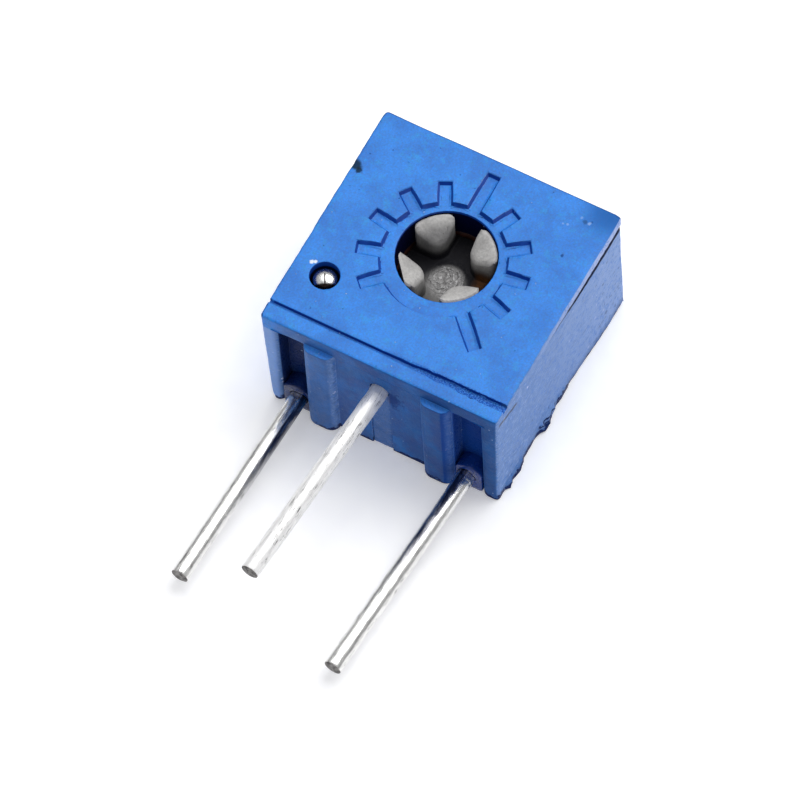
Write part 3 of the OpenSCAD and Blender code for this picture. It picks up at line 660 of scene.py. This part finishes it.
def finished(bm, name, replaced, body, material, move):
    """Moves the vertices by move(place, normal), and makes the piece that stands for the CAD node."""
    bm.normal_update()
    shifts = [move(v.co, v.normal) for v in bm.verts]
    for v, shift in zip(bm.verts, shifts):
        v.co += shift
    bmesh.ops.triangulate(bm, faces=[f for f in bm.faces if len(f.verts) > 4])
    bm.normal_update()
    for e in bm.edges:
        e.smooth = len(e.link_faces) != 2 or e.calc_face_angle() < CREASED
    for f in bm.faces:
        f.smooth, f.material_index = True, 0
    bm.transform(Matrix.Scale(MM, 4))
    mesh = bpy.data.meshes.new(name)
    bm.to_mesh(mesh)
    bm.free()
    mesh.materials.append(material)
    piece = bpy.data.objects.new(name, mesh)
    bpy.context.scene.collection.objects.link(piece)
    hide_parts(replaced)
    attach(piece, body)


def rise(value, low, high):
    """0 at low, 1 at high, smooth between; low may be the larger."""
    t = min(max((value - low) / (high - low), 0.0), 1.0)
    return t * t * (3 - 2 * t)


def ripple(p, size, seed):
    """Smooth noise from -1 to 1, with lumps about size mm across."""
    return noise.noise(Vector((p.x / size + seed, p.y / size - seed, p.z / size + 2 * seed)))


def stray(p, size, seeds):
    """How far a moulded face strays from true: a ripple along each axis."""
    return Vector([ripple(p, size, seed) for seed in seeds]) * STRAY


# ---- housing ----
EDGE_WIDTH = 0.11                                 # of the widest rounding
LEFT_DRAFT, BOTTOM_TUCK = 0.13, 0.05              # left side: its draft, and a little more at its foot
LEAN_TOP, LEAN_BOTTOM = 0.075, 0.17               # right side: how far out its top and its rear foot stand
STEP, OPEN_RIGHT, OPEN_BACK = 0.03, 0.06, 0.05    # parting line: the step below it, the groove's depths
OPEN_ABOVE, OPEN_BELOW = 0.03, 0.2                # the groove's height above and below the line
NICK_DEPTH, DENT_DEPTH, DENT_RIM = 0.03, 0.03, 0.012
DIAL_LEAN, DIAL_WIDEN = 0.06, 0.02                # the dial's walls: their lean, and how far back they start


def housing_weight(middle, edge):
    x, y, z = middle
    if z > TOP - 0.001:
        rim = max(abs(x) - SIDE, y - BACK, FRONT - y) > -0.13
        return 0.55 if rim else 0.22
    if z < 0.001:
        outside = abs(x) > SIDE - 0.02 or y > BACK - 0.02 or y < FRONT + 0.06
        return 0.35 if outside else 0.15
    if z > DIAL_Z - 0.03:
        return 0.2
    if y < POCKET_Y + 0.02:
        along = (edge.verts[1].co - edge.verts[0].co).normalized()
        return 0.3 if abs(along.z) < 0.5 else 0.2
    return 0.0


def sides_shift(p, right):
    """The left side is drawn in towards the bottom, and the right one leans out towards the back."""
    left = rise(p.x, -POCKET_OUT - 0.05, -SIDE + 0.02)
    inwards = LEFT_DRAFT * (1 - p.z / TOP) + BOTTOM_TUCK * rise(p.z, 0.3, 0)
    at_top, at_bottom = LEAN_TOP + 0.007 * p.y, LEAN_BOTTOM * rise(p.y, -1.0, 2.6)
    outwards = at_bottom + (at_top - at_bottom) * p.z / TOP
    return Vector((inwards * left + outwards * right, 0, 0))


def parting_shift(p, right):
    """The step and the open groove along the right side and the back, fading out towards the front."""
    back = rise(p.y, BACK - 0.12, BACK - 0.03)
    below = STEP * rise(p.z, PARTING_Z + 0.02, PARTING_Z - 0.02)
    over = p.z - PARTING_Z
    line = max(0.0, 1 - over / OPEN_ABOVE if over > 0 else 1 + over / OPEN_BELOW)
    step_x = below * (0.25 + 0.75 * rise(p.y, -0.6, 1.2))
    groove_x = OPEN_RIGHT * line * rise(p.y, SEAM_START_Y, 1.0)
    return Vector((-(step_x + groove_x) * right, -(below + OPEN_BACK * line) * back, 0))


def flash_shift(p, right):
    """Ragged lumps of resin along the bottom right edge."""
    out = 0.0
    for start, end, proud, tall in FLASH:
        share = rise(p.y, start, start + 0.2) * rise(p.y, end, end - 0.2) * rise(p.z, tall + 0.12, tall - 0.1)
        out += proud * share
    return Vector((out * (0.7 + 0.7 * ripple(p, 0.16, 5)) * right, 0, 0))


def groove_shift(p):
    """The groove behind the lip is ragged, and wider towards the right."""
    middle = sum(GROOVE) / 2
    near = rise(abs(p.y - middle), 0.12, 0.06) * rise(p.z, TOP - 0.2, TOP - 0.1)
    wider = 0.07 * rise(p.x, -0.5, 3) + 0.06 * ripple(p, 0.13, 2) * rise(p.x, -1, 2.5)
    return Vector((0, near * wider * (1 if p.y > middle else -1), 0))


def top_shift(p):
    """The nick in the left top edge, and the ringed dent of the blemish."""
    nick = math.exp(-(p.y - NICK_Y) ** 2 / 0.008) * rise(p.x, -SIDE + 0.22, -SIDE) * rise(p.z, TOP - 0.5, TOP)
    shift = Vector((0.4 * NICK_DEPTH, 0, -NICK_DEPTH)) * nick
    away = (p.xy - Vector(BLEMISH)).length
    if p.z > TOP - 0.01 and away < 0.3:
        shift.z += DENT_RIM * math.exp(-((away - 0.12) / 0.05) ** 2)
        shift.z -= DENT_DEPTH * math.exp(-(away / 0.08) ** 2)
    return shift


def housing_move(p, n):
    if p.xy.length < CHAMBER_R + 0.1 and 0.3 < p.z < DIAL_Z - 0.02:    # the rotor's seat stays true
        return Vector((0, 0, 0))
    right = rise(p.x, SIDE - 0.12, SIDE - 0.03)
    shift = stray(p, 1.6, (1, 4, 9))
    shift += sides_shift(p, right) + parting_shift(p, right) + flash_shift(p, right)
    if abs(n.z) < 0.7 and (right or p.x < -SIDE + 0.2):    # roughened sides
        shift.x += STRAY * ripple(p, 0.14, 8) * abs(n.x)
    return shift + groove_shift(p) + top_shift(p)


def draft_dial(bm):
    """Leans the dial's upright walls, before the faces are diced."""
    moves = []
    for v in bm.verts:
        x, y, z = v.co
        if not DIAL_Z - 0.005 < z < TOP + 0.001 or max(abs(x) - SIDE, y - BACK, GROOVE[1] - y) > -0.15:
            continue
        if v.co.xy.length < BORE_R + 0.09 or (v.co.xy - HOLE).length < HOLE_R + 0.08:
            continue
        ways = []
        for face in v.link_faces:
            way = face.normal.xy
            if way.length > 0.35 and all(way.normalized().dot(w) < 0.97 for w in ways):
                ways.append(way.normalized())
        if ways:
            away = sum(ways, Vector((0, 0)))
            if len(ways) == 2:
                away /= max(1 + ways[0].dot(ways[1]), 0.6)
            down = (TOP - z) / (TOP - DIAL_Z)
            moves.append((v, away.to_3d() * (DIAL_LEAN * down - DIAL_WIDEN)))
    for v, move in moves:
        v.co += move


def build_housing():
    bm = rounded(clean_copy("housing"), EDGE_WIDTH, 3, housing_weight)
    draft_dial(bm)
    levels = [PARTING_Z + d for d in (-OPEN_BELOW, -0.12, -0.05, -0.02, 0.0, OPEN_ABOVE)]
    levels += [0.05, 0.1, 0.2, 0.3]    # through the flash
    dice(bm, (0.15, 0.12, 0.18), [(2, z) for z in levels])
    finished(bm, "housing_case", "housing", "case", housing_finish(), housing_move)


# ---- rotor ----
FLANK, CORNER_R = 0.35, 0.18    # half the cross slot's width, rounding of the prongs' outer corners
PRONG_FALL, FLOOR_LIFT = 0.28, 0.06    # of the prongs' noses, of the middle of the slot's floor


def rotor_weight(middle, edge):
    if middle.xy.length > NECK_R - 0.13:
        return 0.0
    if middle.z > PRONG_Z - 0.2:
        return 1.0
    return 0.35 if middle.z < SLOT_Z + 0.02 else 0.0


def round_corner(p):
    """Rounds each prong's two outer upright corners; returns the new place."""
    if not 0.8 < p.xy.length < NECK_R + 0.01 or p.z < SLOT_Z + 0.02:
        return p
    u, v = sorted((abs(p.x), abs(p.y)))    # the flank stands at u = FLANK
    u = max(u, FLANK)
    v = min(v, math.sqrt(NECK_R ** 2 - u ** 2))
    spot = Vector((u, v))
    centre = Vector((FLANK + CORNER_R, math.sqrt((NECK_R - CORNER_R) ** 2 - (FLANK + CORNER_R) ** 2)))
    away = spot - centre
    out = centre.normalized()
    if away.length > 0.001 and away.y > 0 and away.dot(Vector((-out.y, out.x))) > 0:
        way = away.normalized()
        along = centre.dot(way)
        edge = math.sqrt(along ** 2 + NECK_R ** 2 - centre.length_squared) - along
        if way.x < 0:
            edge = min(edge, CORNER_R / -way.x)
        share = rise(p.z, SLOT_Z + 0.02, SLOT_Z + 0.3)
        spot = centre + away * (1 + share * (CORNER_R / edge - 1))
    if abs(p.y) < abs(p.x):
        spot = spot.yx
    return Vector((math.copysign(spot.x, p.x), math.copysign(spot.y, p.y), p.z))


def rotor_move(p, n):
    """Prong tops fall towards their noses; the slot's floor is raised and rough at the middle."""
    radius = p.xy.length
    if p.z < SLOT_Z - 0.1:
        return Vector((0, 0, 0))
    shift = round_corner(p) - p
    if radius < NECK_R - 0.08:
        shift += stray(p, 0.5, (2, 6, 8))
    shift.z -= PRONG_FALL * rise(radius, 1.35, 0.5) * rise(p.z, 3.3, PRONG_Z - 0.1)
    if radius < 0.4 and p.z < SLOT_Z - 0.002:    # the dimple is mostly filled
        shift.z += 0.7 * (SLOT_Z - p.z)
    if p.z < SLOT_Z + 0.05:
        shift.z += FLOOR_LIFT * rise(radius, 0.6, 0.2) * (0.4 + ripple(p, 0.12, 3))
    return shift


def build_rotor():
    bm = rounded(clean_copy("rotor"), 0.14, 5, rotor_weight)
    dice(bm, (0.08, 0.08, 0.12))
    finished(bm, "rotor_head", "rotor", "rotor", rotor_finish(), rotor_move)


# ---- leads and potting ----
HEAD_SPREAD, HEAD_LIFT = 0.27, 0.05    # of the first lead's headed end


def lead_move(seed):
    def move(p, n):
        if p.y > FRONT - 0.3:
            return Vector((0, 0, 0))
        wave = Vector((ripple(p, 2.2, seed), 0, ripple(p, 2.2, seed + 5))) * STRAY
        return wave + n * (0.006 * ripple(p, 0.3, seed + 2))
    return move


def spread_post(bm):
    """The first lead's upper end is headed over, as the small hole shows it."""
    for v in bm.verts:
        head = rise(v.co.z, 3.8, 3.95)
        v.co.xy = HOLE + (v.co.xy - HOLE) * (1 + HEAD_SPREAD * head)
        v.co.z += HEAD_LIFT * head


def lead_weight(middle, edge):
    return 0.8 if middle.y < -9 else 0.0


def build_leads():
    tin = tin_finish("bright_tin", TIN, 0.16, 0.3, reflection_cover=0.92)
    dull = tin_finish("dull_tin", DULL_TIN, 0.36, 0.5, metal=0.45)
    for k, finish in ((1, tin), (2, dull), (3, tin)):
        bm = clean_copy(f"lead_{k}")
        if k == 1:
            spread_post(bm)
        bm = rounded(bm, 0.04, 2, lead_weight)
        dice(bm, (0, 0.1, 0))
        finished(bm, f"lead_wire_{k}", f"lead_{k}", "case", finish, lead_move(k * 3.7))


def potting_weight(middle, edge):
    return 1.0 if middle.y < POCKET_Y - 0.05 or middle.z < 0.05 else 0.0


def potting_move(p, n):
    if p.z > 1.3 or p.y > POCKET_Y:
        return Vector((0, 0, 0))
    return Vector((0, ripple(p, 0.3, 2), 0)) * 0.02


def build_potting():
    bm = rounded(clean_copy("potting"), 0.04, 2, potting_weight)
    dice(bm, (0.15, 0.15, 0.15))
    finished(bm, "potting_fill", "potting", "case", potting_finish(), potting_move)


# ---- pieces inside, which keep the CAD's shapes ----
def dress_inner_pieces():
    seal = plain_finish("seal_red", (0.04, 0.012, 0.008), (0.07, 0.02, 0.012),
                        rough=0.5, size=0.2, relief=0.004)
    brass = plain_finish("rolled_brass", (0.7, 0.52, 0.24), (0.85, 0.68, 0.38),
                         rough=0.25, size=0.05, relief=0.002, metal=1.0, stretch=(10, 1, 1))
    ceramic = plain_finish("fired_ceramic", (0.78, 0.78, 0.75), (0.88, 0.88, 0.85),
                           rough=0.6, size=0.3, relief=0.004)
    cermet = plain_finish("cermet", (0.012, 0.012, 0.013), (0.03, 0.03, 0.03),
                          rough=0.45, size=0.08, relief=0.003)
    silver = plain_finish("fired_silver", (0.55, 0.53, 0.48), (0.7, 0.68, 0.63),
                          rough=0.4, size=0.07, relief=0.003, metal=1.0)
    solder = plain_finish("satin_solder", (0.5, 0.5, 0.52), (0.66, 0.67, 0.69),
                          rough=0.3, size=0.15, relief=0.006, metal=1.0)
    for material, names in (
            (seal, ["rotor_seal"]), (brass, ["wiper_contact"]), (ceramic, ["substrate"]),
            (cermet, ["resistive_track"]),
            (silver, ["collector_track", "termination_pad_1", "termination_pad_3"]),
            (solder, ["solder_joint_1", "solder_joint_2", "solder_joint_3"])):
        for name in names:
            nodes[name].data.materials.clear()
            nodes[name].data.materials.append(material)


def make_floor():
    mesh = bpy.data.meshes.new("floor")
    s = FLOOR_HALF
    mesh.from_pydata([(-s, -s, 0), (s, -s, 0), (s, s, 0), (-s, s, 0)], [], [(0, 1, 2, 3)])
    floor = bpy.data.objects.new("floor", mesh)
    bpy.context.scene.collection.objects.link(floor)
    mesh.materials.append(plain_finish("paper", (0.9, 0.9, 0.915), (0.93, 0.93, 0.935),
                                       rough=0.7, size=0.5, relief=0.004, glow=0.26))


make_camera()
make_floor()
make_world(horizon=0.22, zenith=0.7)
area_light("key", az=152, el=61, distance=0.3, size=0.24, power=0.46)
area_light("fill", az=222, el=64, distance=0.3, size=0.22, power=0.16)
bpy.context.scene.view_settings.view_transform = "Standard"
build_housing()
build_rotor()
build_leads()
build_potting()
dress_inner_pieces()
